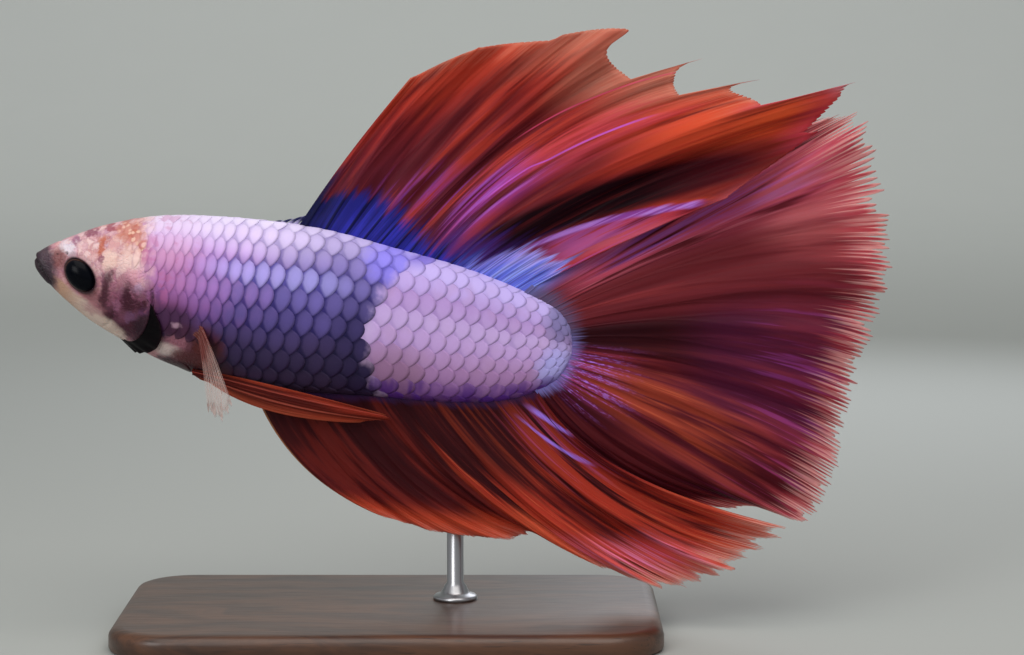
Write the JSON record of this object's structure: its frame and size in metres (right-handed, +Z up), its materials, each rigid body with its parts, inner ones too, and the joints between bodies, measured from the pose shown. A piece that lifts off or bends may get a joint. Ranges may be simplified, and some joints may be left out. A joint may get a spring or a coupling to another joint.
{
  "type": "betta fish model",
  "caption": "Still, life-size male betta fish with spread dorsal, tail and anal fins, held nose-up in its swimming pose by one rod on a flat base.",
  "frame": {"origin": "centre of the underside of the stand's base", "axes": "+X runs from the fish's head to its tail, +Y to the fish's right side, +Z up"},
  "size_m": [0.0729, 0.028, 0.0507],
  "materials": {
    "flesh": "wet-looking scaled skin, lilac to violet, dark along the belly",
    "gill_membrane": "soft black membrane",
    "eye": "glossy black",
    "fin": "thin rayed membrane, crimson with violet streaks",
    "clear_fin": "thin pale rayed membrane",
    "stand_base": "satin dark walnut",
    "stand_rod": "brushed"
  },
  "bodies": {
    "root": {"head": "flesh", "lower_jaw": "flesh", "gill_cover_left": "flesh", "gill_cover_right": "flesh", "gill_membrane_left": "gill_membrane", "gill_membrane_right": "gill_membrane", "eye_left": "eye", "eye_right": "eye", "trunk": "flesh", "tail_root": "flesh", "dorsal_fin": "fin", "caudal_fin": "fin", "anal_fin": "fin", "pelvic_fin_left": "fin", "pelvic_fin_right": "fin", "pectoral_fin_left": "clear_fin", "pectoral_fin_right": "clear_fin", "stand_base": "stand_base", "stand_rod": "stand_rod"}
  },
  "joints": []
}
